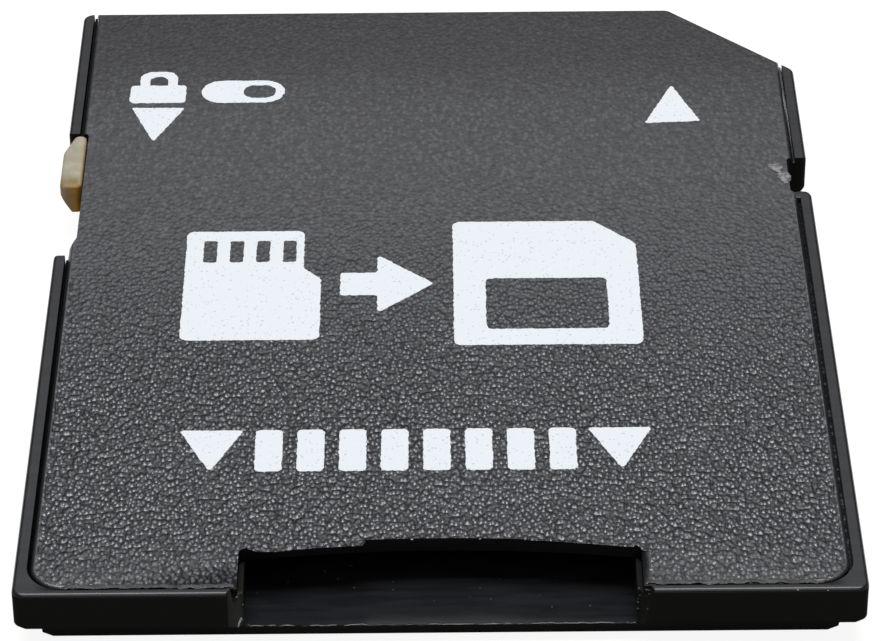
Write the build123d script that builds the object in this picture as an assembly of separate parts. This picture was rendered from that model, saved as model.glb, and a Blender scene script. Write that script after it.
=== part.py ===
from build123d import *
import os

# Memory card adapter: a full-size card body with a slot for a small card.
# X runs across the card, with the lock slider on the minus side. Y runs from the slot end
# to the contact end. Z is up from the underside. Shapes are drawn with Y counted from the
# slot end, and moved at the very end so that the origin is the middle of the base.
# All sizes are in millimetres.

# Body of the full-size card
card_width = 24.0
card_length = 32.0
card_thickness = 2.1
rail_thickness = 1.4
corner_cut = 4.0
cut_corner_radius = 0.4
contact_corner_radius = 0.35
slot_corner_radius = 0.35
edge_radius = 0.12
rail_bevel = 0.25

# Slab that stands below the rails
slab_inset = 0.75
slab_bevel = 0.28
slab_foot_setback = 0.8
slab_lip_setback = 0.43
slab_root = 0.1

# Walls of the tray
floor_thickness = 0.6
cover_thickness = 0.45
rim_width = 0.36
slot_rim_width = 0.23
rim_gap = 0.1
rebate_depth = 0.2
seat_clearance = 0.02
cover_corner_radius = 1.0
side_wall = 1.1
slot_wall = 0.9
contact_wall = 0.5

# Small card that the slot takes, with the stepped nose that keys it
small_card_width = 11.0
small_card_length = 15.0
small_card_nose_width = 9.7
small_card_nose_length = 5.8
small_card_tail = 0.6
small_card_clearance = 0.05
guide_wall = 0.8

# Mouth of the slot and the finger cut-out in the cover
mouth_flare = 0.26
mouth_depth = 0.45
mouth_draft = 7.0
cutout_width = 11.4
cutout_depth = 1.72
cutout_rise = 0.42
cutout_corner_radius = 0.25
cutout_bevel_width = 0.24
cutout_bevel_depth = 0.05

# Notches in the side rails, placed from the contact end
notch_depth = 0.66
notch_corner_radius = 0.15
lock_notch_setback = 7.75
lock_notch_length = 7.17
lock_ramp_inset = 0.42
lock_ramp_run = 0.6
lock_ramp_depth = 0.47
key_notch_setback = 9.57
key_notch_length = 2.23
key_notch_slope = 0.25

# Lock slider: a knob in the notch, a neck between two lips and a foot in a channel
slider_length = 3.05
slider_proud = 0.1
slider_end_gap = 0.05
slider_gap = 0.06
slider_clearance = 0.05
knob_bottom = 1.07
knob_top = 2.08
knob_corner_radius = 0.2
knob_bevel_width = 0.35
knob_bevel_height = 0.6
knob_nose_width = 0.33
knob_nose_length = 1.0
knob_nose_radius = 0.6
lip_thickness = 0.25
lip_height = 0.15
neck_length = 1.7
channel_width = 0.85
channel_floor = 0.95
channel_wall = 0.35
detent_radius = 0.35
detent_depth = 0.1
detent_clearance = 0.03

# Side pockets, with bosses that take the cover's pins
pocket_count = 3
pocket_rib = 0.6
pocket_corner_radius = 0.3
boss_radius = 0.95
pin_radius = 0.4
pin_length = 0.8
pin_clearance = 0.04

# Contact windows in the slab, with the ribs between them
wide_window_count = 7
narrow_window_width = 1.3
window_rib = 0.5
seventh_window_rib = 0.775
eighth_window_rib = 0.4
cut_side_margin = 1.625
lock_side_margin = 1.6
window_length = 5.6
cut_window_setback = 1.4

# Stamped terminals
strip_thickness = 0.15
lead_width = 0.5
finger_count = 8
finger_width = 0.6
finger_pitch = 1.1
finger_tip_width = 0.42
finger_edge_margin = 1.0
finger_relief = 1.5
finger_relief_height = 0.55
hump_from_stop = 2.2
hump_rise = 0.3
hump_radius = 0.35
tip_length = 0.7
tip_drop = 0.2
pad_overlap = 0.1
pad_corner_radius = 0.2
pad_end_gap = 0.8
bridge_width = 0.3
bridge_gap = 0.2
fan_margin = 0.25
groove_margin = 0.15
groove_floor = 0.25
groove_run_out = 0.4

# Contact carrier
carrier_clearance = 0.05
post_radius = 0.55
post_inset = 2.6
carrier_pocket_depth = 0.4
carrier_pocket_margin = 1.2
carrier_pocket_gap = 0.8
carrier_pocket_columns = 3
carrier_pocket_rows = 2

# Places worked out from the sizes above
half_width = card_width / 2
lock_notch_end = card_length - lock_notch_setback
lock_notch_start = lock_notch_end - lock_notch_length
lock_ramp_start = lock_notch_start + lock_ramp_inset
lock_ramp_end = lock_ramp_start + lock_ramp_run
key_notch_end = card_length - key_notch_setback
key_notch_start = key_notch_end - key_notch_length
rail_bottom = card_thickness - rail_thickness
seat_height = card_thickness - cover_thickness
cover_half_width = half_width - rim_width - rim_gap
cover_slot_edge = slot_rim_width + rim_gap
cavity_half_width = small_card_width / 2 + small_card_clearance
nose_wall_x = small_card_nose_width - small_card_width / 2 + small_card_clearance
card_stop = small_card_tail + small_card_length
notch_face_x = -half_width + notch_depth
lip_back_x = notch_face_x + lip_thickness
channel_back_x = lip_back_x + channel_width
neck_bottom = channel_floor + lip_height
neck_top = seat_height - lip_height
slider_end = lock_notch_end - slider_end_gap
slider_start = slider_end - slider_length
lock_travel = slider_start - lock_ramp_end - slider_clearance
pocket_end = card_stop - guide_wall
pad_front = card_length - pad_end_gap
finger_root = card_stop + finger_relief
finger_first_x = small_card_nose_width - small_card_width / 2 - finger_edge_margin
clear = 1.0


def outline(corners):
    # A face from corner points, each with its own rounding radius
    points = [(x, y) for x, y, radius in corners]
    radii = [radius for x, y, radius in corners]
    return make_face(FilletPolyline(*points, radius=radii, close=True))


def prism(face, bottom, top):
    # A face drawn on the base plane, standing between two heights
    return Pos(0, 0, bottom) * extrude(face, top - bottom, dir=(0, 0, 1))


def block(x_low, x_high, y_low, y_high, bottom, top):
    # A plain box between six planes
    return prism(make_face(Polyline((x_low, y_low), (x_high, y_low), (x_high, y_high),
                                    (x_low, y_high), close=True)), bottom, top)


def round_post(x, y, radius, bottom, top):
    return Pos(x, y, 0) * prism(Circle(radius).face(), bottom, top)


def plain_outline():
    # The card seen from above, without its notches
    return outline([
        (-half_width, 0, slot_corner_radius),
        (half_width, 0, slot_corner_radius),
        (half_width, card_length - corner_cut, cut_corner_radius),
        (half_width - corner_cut, card_length, cut_corner_radius),
        (-half_width, card_length, contact_corner_radius),
    ])


def notched_outline():
    # The same outline with the lock notch on the left and the key notch on the right
    lock_ramp_x = -half_width + lock_ramp_depth
    key_face_x = half_width - notch_depth
    small = notch_corner_radius
    return outline([
        (-half_width, 0, slot_corner_radius),
        (half_width, 0, slot_corner_radius),
        (half_width, key_notch_start, small),
        (key_face_x, key_notch_start + key_notch_slope, small),
        (key_face_x, key_notch_end, small),
        (half_width, key_notch_end, small),
        (half_width, card_length - corner_cut, cut_corner_radius),
        (half_width - corner_cut, card_length, cut_corner_radius),
        (-half_width, card_length, contact_corner_radius),
        (-half_width, lock_notch_end, small),
        (notch_face_x, lock_notch_end, small),
        (notch_face_x, lock_ramp_end, small),
        (lock_ramp_x, lock_ramp_start, small),
        (lock_ramp_x, lock_notch_start, small),
        (-half_width, lock_notch_start, small),
    ])


def plate_outline(half, slot_edge, radius):
    # The cover's own outline, left open past the contact end for the body to trim
    return outline([
        (-half, slot_edge, radius),
        (half, slot_edge, radius),
        (half, card_length + clear, 0),
        (-half, card_length + clear, 0),
    ])


def rail_block():
    # The upper body, with rounded top edges and a bevel along the lower ones
    body = prism(plain_outline(), rail_bottom, card_thickness)
    body = fillet(body.faces().sort_by(Axis.Z)[-1].edges(), edge_radius)
    body = chamfer(body.faces().sort_by(Axis.Z)[0].edges(), rail_bevel)
    return body & prism(notched_outline(), rail_bottom, card_thickness)


def slab_block():
    # The slab below the rails: its slot end leans back from the floor's lip to its foot
    slope = (slab_foot_setback - slab_lip_setback) / floor_thickness
    slab_top = rail_bottom + slab_root
    side = make_face(Polyline(
        (slab_foot_setback, 0),
        (card_length, 0),
        (card_length, slab_top),
        (slab_foot_setback - slope * slab_top, slab_top),
        close=True,
    ))
    profile = extrude(Plane.YZ * side, card_width, both=True)
    edge = half_width - slab_inset
    plan = outline([
        (-edge, 0, 0),
        (edge, 0, 0),
        (edge, card_length - corner_cut + slab_inset, 0),
        (half_width - corner_cut, card_length, 0),
        (-edge, card_length, contact_corner_radius),
    ])
    slab = profile & prism(plan, 0, slab_top)
    foot_edges = slab.faces().sort_by(Axis.Z)[0].edges().sort_by(Axis.Y)
    return chamfer(foot_edges[1:], slab_bevel)


def slot_cavity():
    # Room for the small card, narrower where its nose is stepped
    nose_start = card_stop - small_card_nose_length
    step = cavity_half_width - nose_wall_x
    plan = outline([
        (-cavity_half_width, -clear, 0),
        (cavity_half_width, -clear, 0),
        (cavity_half_width, nose_start - step, 0),
        (nose_wall_x, nose_start, 0),
        (nose_wall_x, card_stop + clear, 0),
        (-cavity_half_width, card_stop + clear, 0),
    ])
    return prism(plan, floor_thickness, card_thickness + clear)


def slot_mouth():
    # The flared way in: wider at the end face than inside, and wider at the top than the floor
    outer = cavity_half_width + mouth_flare
    plan = outline([
        (-outer, -clear, 0),
        (outer, -clear, 0),
        (outer, 0, 0),
        (cavity_half_width, mouth_depth, 0),
        (-cavity_half_width, mouth_depth, 0),
        (-outer, 0, 0),
    ])
    height = card_thickness + edge_radius - floor_thickness
    return Pos(0, 0, floor_thickness) * extrude(plan, height, taper=-mouth_draft)


def bay_outline(inset):
    # The bay that holds the contact carrier, clear of the slider's channel and the cut corner
    left_rear = channel_back_x + channel_wall
    side = half_width - side_wall
    front = card_length - contact_wall
    corner_shift = corner_cut + (2 ** 0.5) * (contact_wall + inset)
    cut_x = half_width + card_length - corner_shift - front + inset
    cut_y = half_width + card_length - corner_shift - side + inset
    step_y = lock_notch_end + channel_wall
    return outline([
        (left_rear + inset, card_stop + inset, 0),
        (side - inset, card_stop + inset, 0),
        (side - inset, cut_y, 0),
        (cut_x, front - inset, 0),
        (-side + inset, front - inset, 0),
        (-side + inset, step_y + inset, 0),
        (left_rear + inset, step_y + inset, 0),
    ])


def window_widths():
    # The ribs and the two narrow windows keep their sizes, and the wide ones share the rest
    ribs = (wide_window_count - 1) * window_rib + seventh_window_rib + eighth_window_rib
    room = card_width - cut_side_margin - lock_side_margin - ribs
    wide = (room - 2 * narrow_window_width) / wide_window_count
    return [wide] * wide_window_count + [narrow_window_width] * 2


def window_places():
    # Centre, width and setback of each contact window, from the cut corner to the lock side
    ribs = [window_rib] * (wide_window_count - 1) + [seventh_window_rib, eighth_window_rib, 0]
    setbacks = [cut_window_setback] + [0] * (wide_window_count + 1)
    places = []
    edge = half_width - cut_side_margin
    for width, rib, setback in zip(window_widths(), ribs, setbacks):
        places.append((edge - width / 2, width, setback))
        edge -= width + rib
    return places


def contact_windows():
    # Windows through the slab, open to the contact end, with the ribs left between them
    cuts = []
    for x, width, setback in window_places():
        start = card_length - window_length - setback
        cuts.append(block(x - width / 2, x + width / 2, start, card_length + clear,
                          -clear, rail_bottom))
    return cuts


def finger_places():
    # Centres of the fingers, in the small card's order
    return [finger_first_x - finger * finger_pitch for finger in range(finger_count)]


def finger_grooves():
    # Grooves in the floor that let the fingers bend down under the small card
    half = finger_width / 2 + groove_margin
    start = card_stop - hump_from_stop - tip_length - groove_run_out
    return [block(x - half, x + half, start, finger_root, groove_floor, seat_height)
            for x in finger_places()]


def pocket_spans():
    # The stretches between the ribs of a side pocket
    whole = pocket_end - slot_wall - (pocket_count - 1) * pocket_rib
    length = whole / pocket_count
    return [(slot_wall + place * (length + pocket_rib),
             slot_wall + place * (length + pocket_rib) + length)
            for place in range(pocket_count)]


def side_pockets():
    # Cored-out spaces between the guide walls and the outer walls
    inner = cavity_half_width + guide_wall
    outer = half_width - side_wall
    cuts = []
    for low, high in pocket_spans():
        for side in (-1, 1):
            middle = side * (inner + outer) / 2
            pocket = RectangleRounded(outer - inner, high - low, pocket_corner_radius).face()
            cuts.append(Pos(middle, (low + high) / 2, 0)
                        * prism(pocket, floor_thickness, card_thickness))
    return cuts


def boss_places():
    # Each rib of a side pocket carries a boss at its middle
    middle = (cavity_half_width + guide_wall + half_width - side_wall) / 2
    spans = pocket_spans()
    ribs = [(low_span[1] + high_span[0]) / 2 for low_span, high_span in zip(spans, spans[1:])]
    return [(side * middle, y) for y in ribs for side in (-1, 1)]


def post_places():
    # Two posts beside the fanned leads, near the carrier's slot-side corners
    left = channel_back_x + channel_wall + post_inset
    right = half_width - side_wall - post_inset
    return [(left, card_stop + post_inset), (right, card_stop + post_inset)]


def detent_places():
    # The slider's rest and its locked place, at the middle of its length
    middle = (slider_start + slider_end) / 2
    return [middle, middle - lock_travel]


def slider_channel():
    # A channel for the foot, with the notch wall cut down to a lip in front of it
    start = lock_ramp_end
    end = slider_end + slider_clearance
    cuts = [
        block(lip_back_x, channel_back_x, start, end, channel_floor, card_thickness),
        block(notch_face_x - clear, lip_back_x, start, end, neck_bottom, card_thickness),
    ]
    centre_x = channel_back_x + detent_depth - detent_radius
    for y in detent_places():
        cuts.append(round_post(centre_x, y, detent_radius, channel_floor, seat_height))
    return cuts


def make_bottom_shell():
    shell = rail_block() + slab_block()
    seat = plate_outline(half_width - rim_width, slot_rim_width, cover_corner_radius + rim_gap)
    shell -= prism(seat, seat_height, card_thickness + clear)
    shell -= slot_cavity()
    shell -= slot_mouth()
    shell -= prism(bay_outline(0), rail_bottom, card_thickness)
    shell -= side_pockets()
    shell -= contact_windows()
    shell -= finger_grooves()
    shell -= slider_channel()
    for x, y in boss_places():
        shell += round_post(x, y, boss_radius, floor_thickness, seat_height)
    for x, y in boss_places():
        shell -= round_post(x, y, pin_radius + pin_clearance, floor_thickness, seat_height)
    for x, y in post_places():
        shell += round_post(x, y, post_radius, rail_bottom, seat_height)
    return shell


def finger_cutout():
    # The cut-out at the slot end: straight sides and a shallow arc at the back
    half = cutout_width / 2
    back = cover_slot_edge + cutout_depth
    edge = make_face([
        Line((-half, back), (-half, -clear)),
        Line((-half, -clear), (half, -clear)),
        Line((half, -clear), (half, back)),
        ThreePointArc((half, back), (0, back + cutout_rise), (-half, back)),
    ])
    corners = edge.vertices().sort_by(Axis.Y)[-2:]
    return fillet(corners, cutout_corner_radius)


def rounded_plate(face):
    # A plate of the cover's thickness with rounded top edges
    plate = prism(face, seat_height, card_thickness)
    return fillet(plate.faces().sort_by(Axis.Z)[-1].edges(), edge_radius)


def cover_flange():
    # The cover's foot fills its seat under a stepped edge, so that the gap beside it is shallow
    foot = plate_outline(half_width - rim_width - seat_clearance, slot_rim_width + seat_clearance,
                         cover_corner_radius + rim_gap - seat_clearance)
    return prism(foot, seat_height, card_thickness - rebate_depth)


def cutout_bevel():
    # The smooth bevel along the cut-out's side that lies away from the lock
    edge_x = cutout_width / 2
    section = make_face(Polyline(
        (edge_x - clear, card_thickness + clear),
        (edge_x - clear, card_thickness - cutout_bevel_depth),
        (edge_x, card_thickness - cutout_bevel_depth),
        (edge_x + cutout_bevel_width, card_thickness),
        (edge_x + cutout_bevel_width, card_thickness + clear),
        close=True,
    ))
    length = cover_slot_edge + cutout_depth - cutout_corner_radius
    return extrude(Plane.XZ * section, length, dir=(0, 1, 0))


def make_top_cover():
    # The plate's own edge and the card's outline are rounded apart, then cut to what both cover
    plate = plate_outline(cover_half_width, cover_slot_edge, cover_corner_radius)
    cover = rounded_plate(plate) + cover_flange()
    cover = cover & rounded_plate(plain_outline())
    cover &= prism(notched_outline() - finger_cutout(), seat_height, card_thickness)
    cover -= cutout_bevel()
    for x, y in boss_places():
        cover += round_post(x, y, pin_radius, seat_height - pin_length, seat_height)
    cover += block(notch_face_x + slider_clearance, lip_back_x,
                   lock_ramp_end + slider_clearance, slider_end, neck_top, seat_height)
    return cover


def make_lock_slider():
    # The knob is drawn from above with a tapered nose, and seen from its end it is a bar with
    # its outer lower corner bevelled away
    outer_x = -half_width - slider_proud
    inner_x = notch_face_x - slider_gap
    section = make_face(FilletPolyline(
        (inner_x, knob_bottom),
        (inner_x, knob_top),
        (outer_x, knob_top),
        (outer_x, knob_bottom + knob_bevel_height),
        (outer_x + knob_bevel_width, knob_bottom),
        radius=[0, 0, 0, edge_radius, 0],
        close=True,
    ))
    bar = extrude(Plane.XZ * section, card_length, both=True)
    plan = outline([
        (outer_x, slider_start, knob_corner_radius),
        (inner_x, slider_start, knob_corner_radius),
        (inner_x, slider_end, knob_corner_radius),
        (outer_x + knob_nose_width, slider_end, knob_corner_radius),
        (outer_x, slider_end - knob_nose_length, knob_nose_radius),
    ])
    knob = prism(plan, knob_bottom, knob_top)
    knob = fillet(knob.faces().sort_by(Axis.Z)[-1].edges(), edge_radius)
    knob &= bar
    middle = (slider_start + slider_end) / 2
    foot_front_x = lip_back_x + slider_clearance
    foot_back_x = channel_back_x - detent_clearance - detent_depth
    neck = block(inner_x, foot_front_x, middle - neck_length / 2, middle + neck_length / 2,
                 neck_bottom + slider_clearance, neck_top - slider_clearance)
    foot_bottom = channel_floor + slider_clearance
    foot_top = seat_height - slider_clearance
    foot = block(foot_front_x, foot_back_x, slider_start + slider_clearance, slider_end,
                 foot_bottom, foot_top)
    nub_x = foot_back_x + detent_depth - detent_radius
    nub = round_post(nub_x, middle, detent_radius, foot_bottom, foot_top)
    return knob + neck + foot + nub


def strip_profile():
    # The bent strip seen from the side, as wide as the card: flat under the carrier, then
    # rising to the contact hump and turning down at its tip
    flat = rail_bottom + strip_thickness / 2
    hump = card_stop - hump_from_stop
    line = FilletPolyline(
        (card_length, flat),
        (finger_root, flat),
        (hump, flat + hump_rise),
        (hump - tip_length, flat + hump_rise - tip_drop),
        radius=[hump_radius, hump_radius],
    )
    side = trace(line, strip_thickness)
    return extrude(Plane.YZ * side, card_width, both=True)


def pad_plan(place, front):
    # One contact pad, a little wider than its window, trimmed to the carrier's bay
    x, width, setback = place
    half = width / 2 + pad_overlap
    back = card_length - window_length - setback - pad_overlap
    pad = outline([
        (x - half, back, 0),
        (x + half, back, 0),
        (x + half, front - setback, pad_corner_radius),
        (x - half, front - setback, pad_corner_radius),
    ])
    return pad & bay_outline(carrier_clearance)


def lead_plan(finger_x, place):
    # A finger at the small card's pitch and the lead that fans out from it to its pad
    x, width, setback = place
    tip = card_stop - hump_from_stop - tip_length - groove_run_out
    fan_start = finger_root + fan_margin
    fan_end = card_length - window_length - setback - fan_margin
    pad_start = fan_end + 2 * fan_margin
    return make_face(Polyline(
        (finger_x - finger_tip_width / 2, tip),
        (finger_x + finger_tip_width / 2, tip),
        (finger_x + finger_width / 2, finger_root),
        (finger_x + lead_width / 2, fan_start),
        (x + lead_width / 2, fan_end),
        (x + lead_width / 2, pad_start),
        (x - lead_width / 2, pad_start),
        (x - lead_width / 2, fan_end),
        (finger_x - lead_width / 2, fan_start),
        (finger_x - finger_width / 2, finger_root),
        close=True,
    ))


def bridge_plan(left_place, right_place):
    # The strip that joins the two ground pads along the contact end
    return make_face(Polyline(
        (left_place[0], pad_front - bridge_width),
        (right_place[0], pad_front - bridge_width),
        (right_place[0], pad_front),
        (left_place[0], pad_front),
        close=True,
    ))


def make_terminals():
    # Window order is pad 9, then 1 to 8. The small card has no strip of its own for pad 3:
    # the ground strip takes it in by a bridge in front of pads 4 and 5.
    places = window_places()
    ninth, first, second, third, fourth, fifth, sixth, seventh, eighth = places
    order = [ninth, first, second, fourth, fifth, sixth, seventh, eighth]
    sheet = strip_profile()
    terminals = []
    for finger_x, place in zip(finger_places(), order):
        front = pad_front
        if place in (fourth, fifth):
            front = pad_front - bridge_width - bridge_gap
        plan = pad_plan(place, front) + lead_plan(finger_x, place)
        if place == sixth:
            plan = plan + pad_plan(third, pad_front) + bridge_plan(sixth, third)
        terminals.append(sheet & prism(plan, 0, card_thickness))
    return terminals


def make_contact_carrier(terminals):
    # A bar moulded round the flat parts of the strips
    carrier = prism(bay_outline(carrier_clearance), rail_bottom, seat_height)
    first_x = finger_places()[0] + finger_width
    last_x = finger_places()[-1] - finger_width
    carrier -= block(last_x, first_x, card_stop - clear, finger_root,
                     rail_bottom, rail_bottom + finger_relief_height)
    carrier -= terminals
    for x, y in post_places():
        carrier -= round_post(x, y, post_radius + pin_clearance, rail_bottom, seat_height)
    return carrier - carrier_pockets()


def carrier_pockets():
    # Shallow cored-out pockets in the carrier's top, in rows and columns
    left = channel_back_x + channel_wall + carrier_pocket_margin
    right = half_width - side_wall - carrier_pocket_margin
    low = card_stop + 2 * post_inset
    high = card_length - corner_cut
    width = (right - left - (carrier_pocket_columns - 1) * carrier_pocket_gap)
    width = width / carrier_pocket_columns
    height = (high - low - (carrier_pocket_rows - 1) * carrier_pocket_gap)
    height = height / carrier_pocket_rows
    radius = min(pocket_corner_radius, height / 3, width / 3)
    cuts = []
    for column in range(carrier_pocket_columns):
        for row in range(carrier_pocket_rows):
            x = left + width / 2 + column * (width + carrier_pocket_gap)
            y = low + height / 2 + row * (height + carrier_pocket_gap)
            pocket = RectangleRounded(width, height, radius).face()
            cuts.append(Pos(x, y, 0)
                        * prism(pocket, seat_height - carrier_pocket_depth, seat_height))
    return cuts


def export(shape, node):
    # The origin moves from the slot end to the middle of the base
    placed = Pos(0, -card_length / 2, 0) * shape
    export_step(placed, f"parts/{node}.step")


def main():
    os.makedirs("parts", exist_ok=True)
    terminals = make_terminals()
    export(make_bottom_shell(), "bottom_shell")
    export(make_top_cover(), "top_cover")
    export(make_lock_slider(), "lock_slider")
    export(make_contact_carrier(terminals), "contact_carrier")
    for number, terminal in enumerate(terminals, start=1):
        export(terminal, f"terminal_{number}")
    print(f"lock slider travel {lock_travel:.3f} mm")


main()
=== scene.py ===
import bpy
import bmesh
import math
from mathutils import Matrix, Vector, noise


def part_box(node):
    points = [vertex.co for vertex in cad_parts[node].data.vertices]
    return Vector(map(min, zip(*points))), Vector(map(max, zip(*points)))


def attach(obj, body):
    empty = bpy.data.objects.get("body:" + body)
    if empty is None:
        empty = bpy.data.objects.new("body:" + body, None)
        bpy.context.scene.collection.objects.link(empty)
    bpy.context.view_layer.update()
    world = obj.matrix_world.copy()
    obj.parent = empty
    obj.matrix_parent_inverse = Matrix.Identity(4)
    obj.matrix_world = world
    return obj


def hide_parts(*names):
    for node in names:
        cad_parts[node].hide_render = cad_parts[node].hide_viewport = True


# Memory card adapter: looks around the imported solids. Everything is in metres.
# Places on the card are written in millimetres, x across it and y from its slot end.

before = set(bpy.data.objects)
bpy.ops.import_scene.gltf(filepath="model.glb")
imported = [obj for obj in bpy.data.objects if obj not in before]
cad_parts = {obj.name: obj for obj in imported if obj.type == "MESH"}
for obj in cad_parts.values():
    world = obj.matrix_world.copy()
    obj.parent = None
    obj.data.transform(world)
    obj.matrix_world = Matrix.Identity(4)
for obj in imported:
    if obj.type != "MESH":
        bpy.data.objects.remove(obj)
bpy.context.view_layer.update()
mm = 0.001
halfLength = 16.0
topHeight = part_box("top_cover")[1].z / mm      # label face of the cover
print("frame loaded, label face at", round(topHeight, 3), "mm")


def cardPoint(x, y, z):
    return Vector((x * mm, (y - halfLength) * mm, z * mm))


# node helpers

def addNode(tree, kind, **settings):
    node = tree.nodes.new(kind)
    for key, value in settings.items():
        setattr(node, key, value)
    return node


def setInputs(node, **values):
    for key, value in values.items():
        node.inputs[key.replace("_", " ")].default_value = value
    return node


def linkOrSet(tree, socket, value):
    if isinstance(value, bpy.types.NodeSocket):
        tree.links.new(value, socket)
    elif value is not None:
        socket.default_value = value


def mathNode(tree, operation, a, b=None, clamp=False):
    node = addNode(tree, "ShaderNodeMath", operation=operation, use_clamp=clamp)
    linkOrSet(tree, node.inputs[0], a)
    linkOrSet(tree, node.inputs[1], b)
    return node.outputs[0]


def mixColour(tree, factor, first, second):
    node = addNode(tree, "ShaderNodeMix", data_type="RGBA")
    for index, value in ((0, factor), (6, first), (7, second)):
        linkOrSet(tree, node.inputs[index], value)
    return node.outputs[2]


def mixValue(tree, factor, first, second):
    node = addNode(tree, "ShaderNodeMix", data_type="FLOAT")
    for index, value in ((0, factor), (2, first), (3, second)):
        linkOrSet(tree, node.inputs[index], value)
    return node.outputs[0]


def mapRange(tree, value, low, high, outLow=0.0, outHigh=1.0):
    node = addNode(tree, "ShaderNodeMapRange", interpolation_type="SMOOTHSTEP")
    tree.links.new(value, node.inputs["Value"])
    for key, number in (("From Min", low), ("From Max", high), ("To Min", outLow), ("To Max", outHigh)):
        node.inputs[key].default_value = number
    return node.outputs[0]


def mapPlace(tree, value, low, high):
    # across the card or up from its underside, in millimetres
    return mapRange(tree, value, low * mm, high * mm)


def mapAlong(tree, value, low, high, outLow=0.0, outHigh=1.0):
    # along the card, in millimetres from its slot end
    return mapRange(tree, value, (low - halfLength) * mm, (high - halfLength) * mm, outLow, outHigh)


def splitVector(tree, vector):
    node = addNode(tree, "ShaderNodeSeparateXYZ")
    tree.links.new(vector, node.inputs[0])
    return node.outputs


def stretched(tree, vector, scale):
    node = addNode(tree, "ShaderNodeMapping")
    node.inputs["Scale"].default_value = scale
    tree.links.new(vector, node.inputs["Vector"])
    return node.outputs[0]


def perMetre(tree, sizeMm):
    return mathNode(tree, "DIVIDE", 1.0, mathNode(tree, "MULTIPLY", sizeMm, mm))


def newGroup(name, inputs, outputs):
    tree = bpy.data.node_groups.new(name, "ShaderNodeTree")
    for label, kind, value in inputs:
        socket = tree.interface.new_socket(name=label, in_out="INPUT", socket_type=kind)
        if value is not None:
            socket.default_value = value
    for label, kind in outputs:
        tree.interface.new_socket(name=label, in_out="OUTPUT", socket_type=kind)
    return tree, tree.nodes.new("NodeGroupInput"), tree.nodes.new("NodeGroupOutput")


def placeGroup(tree, group, vector=None, **values):
    node = tree.nodes.new("ShaderNodeGroup")
    node.node_tree = group
    if vector is not None:
        tree.links.new(vector, node.inputs["Vector"])
    return setInputs(node, **values)


# shader groups that several materials share

def makeGrainGroup():
    tree, start, end = newGroup(
        "moulded grain",
        [("Vector", "NodeSocketVector", None), ("Spacing mm", "NodeSocketFloat", 0.19),
         ("Cells", "NodeSocketFloat", 0.9), ("Lumps", "NodeSocketFloat", 0.28)],
        [("Height", "NodeSocketFloat")])
    scale = perMetre(tree, start.outputs["Spacing mm"])
    lumps = addNode(tree, "ShaderNodeTexNoise")
    setInputs(lumps, Detail=1.2, Roughness=0.5)
    cells = addNode(tree, "ShaderNodeTexVoronoi", feature="SMOOTH_F1")
    setInputs(cells, Smoothness=0.35, Randomness=0.93)
    for node in (lumps, cells):
        tree.links.new(start.outputs["Vector"], node.inputs["Vector"])
        tree.links.new(scale, node.inputs["Scale"])
    pits = mathNode(tree, "MULTIPLY", cells.outputs["Distance"], start.outputs["Cells"])
    swell = mathNode(tree, "MULTIPLY", lumps.outputs["Fac"], start.outputs["Lumps"])
    tree.links.new(mathNode(tree, "SUBTRACT", swell, pits), end.inputs["Height"])
    return tree


def makeMottleGroup():
    tree, start, end = newGroup(
        "uneven finish",
        [("Vector", "NodeSocketVector", None), ("Size mm", "NodeSocketFloat", 3.0),
         ("Low", "NodeSocketFloat", 0.0), ("High", "NodeSocketFloat", 1.0)],
        [("Value", "NodeSocketFloat")])
    scale = perMetre(tree, start.outputs["Size mm"])
    cloud = addNode(tree, "ShaderNodeTexNoise")
    setInputs(cloud, Detail=3.0, Roughness=0.55)
    tree.links.new(start.outputs["Vector"], cloud.inputs["Vector"])
    tree.links.new(scale, cloud.inputs["Scale"])
    spread = mapRange(tree, cloud.outputs["Fac"], 0.3, 0.7)
    span = mathNode(tree, "SUBTRACT", start.outputs["High"], start.outputs["Low"])
    value = mathNode(tree, "ADD", start.outputs["Low"], mathNode(tree, "MULTIPLY", spread, span))
    tree.links.new(value, end.inputs["Value"])
    return tree


def makeDustGroup():
    tree, start, end = newGroup(
        "dust specks",
        [("Vector", "NodeSocketVector", None), ("Spacing mm", "NodeSocketFloat", 0.6),
         ("Speck share", "NodeSocketFloat", 0.12)],
        [("Mask", "NodeSocketFloat")])
    scale = perMetre(tree, start.outputs["Spacing mm"])
    cells = addNode(tree, "ShaderNodeTexVoronoi", feature="F1")
    tree.links.new(start.outputs["Vector"], cells.inputs["Vector"])
    tree.links.new(scale, cells.inputs["Scale"])
    size = mathNode(tree, "MULTIPLY", cells.outputs["Color"], start.outputs["Speck share"])
    near = mathNode(tree, "SUBTRACT", size, cells.outputs["Distance"])
    tree.links.new(mapRange(tree, near, 0.0, 0.04), end.inputs["Mask"])
    return tree


def makeUpwardGroup():
    tree, start, end = newGroup(
        "upward facing mask",
        [("Normal", "NodeSocketVector", None), ("Low", "NodeSocketFloat", 0.15),
         ("High", "NodeSocketFloat", 0.5)],
        [("Mask", "NodeSocketFloat")])
    tilt = splitVector(tree, start.outputs["Normal"])
    span = mathNode(tree, "SUBTRACT", start.outputs["High"], start.outputs["Low"])
    rise = mathNode(tree, "SUBTRACT", tilt["Z"], start.outputs["Low"])
    tree.links.new(mathNode(tree, "DIVIDE", rise, span, clamp=True), end.inputs["Mask"])
    return tree


grainGroup = makeGrainGroup()
mottleGroup = makeMottleGroup()
dustGroup = makeDustGroup()
upwardGroup = makeUpwardGroup()
print("shader groups ready")


# materials

def startMaterial(name, **values):
    material = bpy.data.materials.new(name)
    material.use_nodes = True
    tree = material.node_tree
    shader = tree.nodes["Principled BSDF"]
    for key, value in values.items():
        shader.inputs[key.replace("_", " ")].default_value = value
    place = addNode(tree, "ShaderNodeTexCoord").outputs["Object"]
    return material, tree, shader, place


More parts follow.
